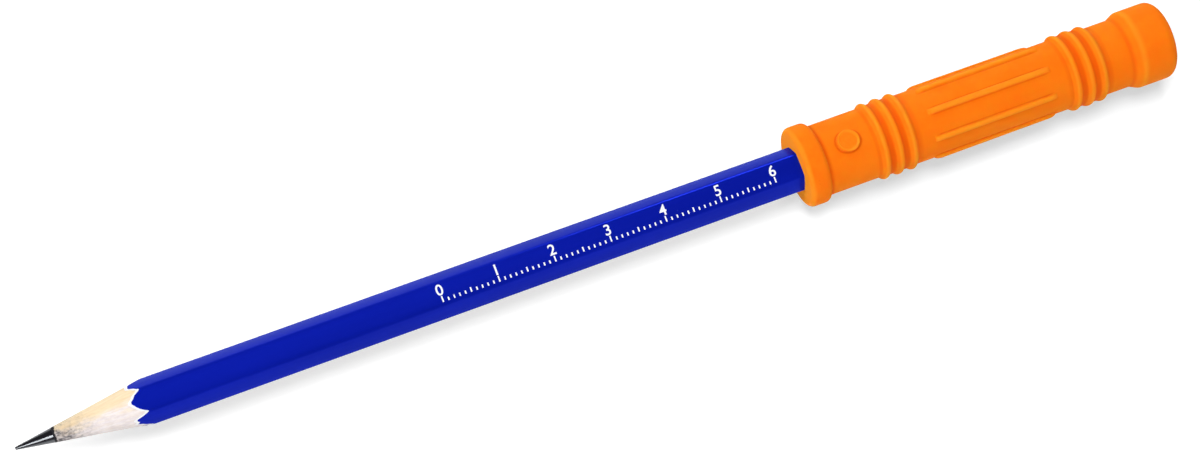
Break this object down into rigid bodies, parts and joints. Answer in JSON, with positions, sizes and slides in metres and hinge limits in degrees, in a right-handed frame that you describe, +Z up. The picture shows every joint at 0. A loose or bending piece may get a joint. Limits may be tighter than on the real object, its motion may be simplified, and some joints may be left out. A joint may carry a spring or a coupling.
{
  "type": "chewable pencil topper",
  "caption": "Soft chewable topper with a rounded lip, ring ridges, lengthwise ribs and a flared closed end, pushed over the end of a sharpened hexagonal wooden pencil.",
  "frame": {"origin": "middle of the footprint, on the surface that the topper's collar lies on", "axes": "+X along the pencil from its point to the topper's closed end, +Z up through the raised disc"},
  "size_m": [0.208, 0.0142, 0.0142],
  "materials": {
    "topper_rubber": "matte",
    "blue_lacquer": "gloss",
    "casing_wood": "matte",
    "graphite": "satin"
  },
  "bodies": {
    "pencil": {"lacquer_coat": "blue_lacquer", "upper_slat": "casing_wood", "lower_slat": "casing_wood", "graphite_lead": "graphite"},
    "topper": {"topper": "topper_rubber"}
  },
  "joints": [
    {"name": "topper_pull", "type": "slide", "parent": "pencil", "child": "topper", "axis": [1, 0, 0], "range_m": [0, 0.045]}
  ]
}
